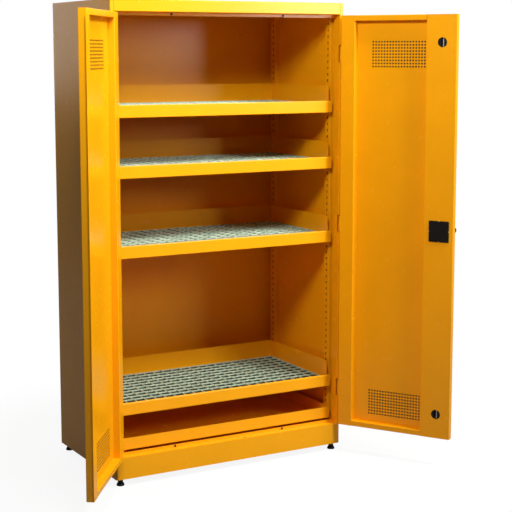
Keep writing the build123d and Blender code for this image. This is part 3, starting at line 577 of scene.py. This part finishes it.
class CABINET_OT_wall_caps(Operator):
    """Closes the two wall fixing holes with domed caps on the inside of the back"""

    bl_idname = "cabinet.wall_caps"
    bl_label = "Wall Caps"

    def execute(self, context):
        radius = context.scene.cabinet_fittings.cap_radius
        wall = MOUNTS["wall_fixing"]
        reach = wall["dims"]["spacing_x_mm"] / 2000
        clear_selection()
        bpy.ops.mesh.primitive_cylinder_add(vertices=32, radius=radius, depth=radius * 0.3)
        cap = bpy.context.object
        select_faces(cap, lambda centre, normal: normal.z > 0.9)
        bpy.ops.mesh.inset(thickness=radius * 0.22)
        bpy.ops.transform.translate(value=(0, 0, radius * 0.1))
        bpy.ops.mesh.inset(thickness=radius * 0.4)
        bpy.ops.transform.translate(value=(0, 0, radius * 0.06))
        bpy.ops.object.mode_set(mode="OBJECT")
        inside = wall["pos_m"][1] - SHEET - radius * 0.15
        turn = Matrix.Rotation(math.pi / 2, 4, "X")
        places = [Matrix.Translation((end * reach, inside, wall["pos_m"][2])) @ turn for end in (-1, 1)]
        set_down(repeat(cap, places), "wall_hole_caps", "carcass", "yellow_paint")
        return {"FINISHED"}


class CABINET_OT_lock_clips(Operator):
    """Sets a clip end in the notch at the middle of each edge of the lock cover"""

    bl_idname = "cabinet.lock_clips"
    bl_label = "Lock Clips"

    def execute(self, context):
        length = context.scene.cabinet_fittings.clip_length
        clear_selection()
        bpy.ops.mesh.primitive_cube_add(size=1.0)
        clip = bpy.context.object
        clip.scale = (length, length * 0.55, length * 0.4)
        bpy.ops.object.transform_apply(location=False, rotation=False, scale=True)
        select_faces(clip, lambda centre, normal: normal.y > 0.9)
        bpy.ops.mesh.inset(thickness=length * 0.06)
        bpy.ops.transform.translate(value=(0, length * 0.08, 0))
        bpy.ops.object.mode_set(mode="OBJECT")
        centre = door_place(1) @ Matrix.Translation((-LOCK_ALONG, LOCK_FACE - length * 0.32, LOCK_HEIGHT))
        places = [
            centre @ Matrix.Rotation(math.radians(turn), 4, "Y") @ Matrix.Translation((0, 0, LOCK_REACH))
            for turn in (0, 90, 180, 270)
        ]
        set_down(repeat(clip, places), "lock_cover_clips", "right_door", "zinc_steel")
        return {"FINISHED"}


class CABINET_OT_stage(Operator):
    """Sets the floor, the lamps, the surrounding light and the camera"""

    bl_idname = "cabinet.stage"
    bl_label = "Studio"

    def execute(self, context):
        studio = context.scene.cabinet_studio
        scene = context.scene
        clear_selection()
        bpy.ops.mesh.primitive_plane_add(size=FLOOR_SIZE, location=(0, 0, 0))
        floor = bpy.context.object
        floor.name = "studio_floor"
        floor.data.materials.append(self.floor_material(studio))
        for name, (place, aim, size) in LAMPS.items():
            self.lamp(f"{name}_lamp", place, aim, size, getattr(studio, name))
        self.surroundings(scene, studio)
        camera = bpy.data.objects.new("camera", bpy.data.cameras.new("camera"))
        scene.collection.objects.link(camera)
        camera.location = studio.place
        camera.rotation_euler = (math.pi / 2 + studio.pitch, 0, -studio.yaw)
        camera.data.lens = studio.lens
        camera.data.sensor_width = SENSOR
        camera.data.shift_y = studio.shift
        scene.camera = camera
        scene.view_settings.view_transform = "Standard"
        return {"FINISHED"}

    def floor_material(self, studio):
        """Pale floor that keeps the shadow and gives little light back to the object."""
        material, tree, shader = new_material("studio_floor")
        tree.nodes.remove(shader)
        output = tree.nodes["Material Output"]
        seen = self.seen(tree, studio)
        bounce = add_node(tree, "ShaderNodeBsdfDiffuse", (("Color", (*studio.floor_bounce, 1.0)),))
        pale = add_node(tree, "ShaderNodeBsdfDiffuse", (("Color", (*studio.floor, 1.0)),))
        white = add_node(tree, "ShaderNodeEmission", (("Strength", 1.0),))
        reach = add_node(tree, "ShaderNodeVectorMath", operation="LENGTH")
        tree.links.new(tree.nodes.new("ShaderNodeTexCoord").outputs["Object"], reach.inputs[0])
        fade = add_node(tree, "ShaderNodeMapRange", (("From Min", SHADOW_START), ("From Max", SHADOW_END)))
        fade.interpolation_type = "SMOOTHSTEP"
        tree.links.new(reach.outputs["Value"], fade.inputs["Value"])
        shown = tree.nodes.new("ShaderNodeMixShader")
        tree.links.new(ranged(tree, fade.outputs["Result"], 1.0 - studio.shadow, 1.0), shown.inputs[0])
        tree.links.new(pale.outputs[0], shown.inputs[1])
        tree.links.new(white.outputs[0], shown.inputs[2])
        mixed = tree.nodes.new("ShaderNodeMixShader")
        tree.links.new(seen, mixed.inputs[0])
        tree.links.new(bounce.outputs[0], mixed.inputs[1])
        tree.links.new(shown.outputs[0], mixed.inputs[2])
        tree.links.new(mixed.outputs[0], output.inputs["Surface"])
        return material

    def seen(self, tree, studio):
        """One for rays from the eye and through glass, a share for reflections and nought for other light."""
        rays = tree.nodes.new("ShaderNodeLightPath")
        mirrored = maths(tree, "MULTIPLY", rays.outputs["Is Glossy Ray"], studio.mirrored)
        seen = maths(tree, "MAXIMUM", rays.outputs["Is Camera Ray"], rays.outputs["Is Transmission Ray"])
        return maths(tree, "MAXIMUM", seen, mirrored)

    def lamp(self, name, place, aim, size, power):
        """Square soft box aimed at a point."""
        data = bpy.data.lights.new(name, "AREA")
        data.energy = power
        data.size = size
        lamp = bpy.data.objects.new(name, data)
        bpy.context.scene.collection.objects.link(lamp)
        lamp.location = place
        lamp.rotation_euler = (Vector(aim) - Vector(place)).to_track_quat("-Z", "Y").to_euler()

    def surroundings(self, scene, studio):
        """White to the eye and in reflections, and dim as light."""
        world = bpy.data.worlds.new("studio")
        scene.world = world
        world.use_nodes = True
        tree = world.node_tree
        background = tree.nodes["Background"]
        seen = self.seen(tree, studio)
        background.inputs["Color"].default_value = (1, 1, 1, 1)
        tree.links.new(ranged(tree, seen, studio.ambient, 1.0), background.inputs["Strength"])


class CABINET_PT_sidebar(Panel):
    """Lists the cabinet's sizes, colours and steps"""

    bl_idname = "CABINET_PT_sidebar"
    bl_label = "Safety Cabinet"
    bl_space_type = "VIEW_3D"
    bl_region_type = "UI"
    bl_category = "Cabinet"

    def draw(self, context):
        scene = context.scene
        for group in (scene.cabinet_finish, scene.cabinet_fittings, scene.cabinet_studio):
            for key in group.__annotations__:
                self.layout.prop(group, key)
        for step in STEPS:
            self.layout.operator(step.bl_idname)


GROUPS = (
    (CabinetFinish, "cabinet_finish"),
    (CabinetFittings, "cabinet_fittings"),
    (CabinetStudio, "cabinet_studio"),
)
STEPS = (
    CABINET_OT_finishes,
    CABINET_OT_hinge_screws,
    CABINET_OT_vent_shade,
    CABINET_OT_upright_shade_sheets,
    CABINET_OT_wall_caps,
    CABINET_OT_lock_clips,
    CABINET_OT_stage,
)


def register():
    """Adds the classes and their properties."""
    for group, name in GROUPS:
        bpy.utils.register_class(group)
        setattr(bpy.types.Scene, name, PointerProperty(type=group))
    for item in (*STEPS, CABINET_PT_sidebar):
        bpy.utils.register_class(item)


def unregister():
    """Takes the classes and their properties away."""
    for item in (CABINET_PT_sidebar, *reversed(STEPS)):
        bpy.utils.unregister_class(item)
    for group, name in reversed(GROUPS):
        delattr(bpy.types.Scene, name)
        bpy.utils.unregister_class(group)


def main():
    """Dresses the cabinet."""
    register()
    bpy.ops.cabinet.finishes()
    bpy.ops.cabinet.hinge_screws()
    bpy.ops.cabinet.vent_gauze()
    bpy.ops.cabinet.upright_liners()
    bpy.ops.cabinet.wall_caps()
    bpy.ops.cabinet.lock_clips()
    bpy.ops.cabinet.stage()


if __name__ == "__main__":
    main()
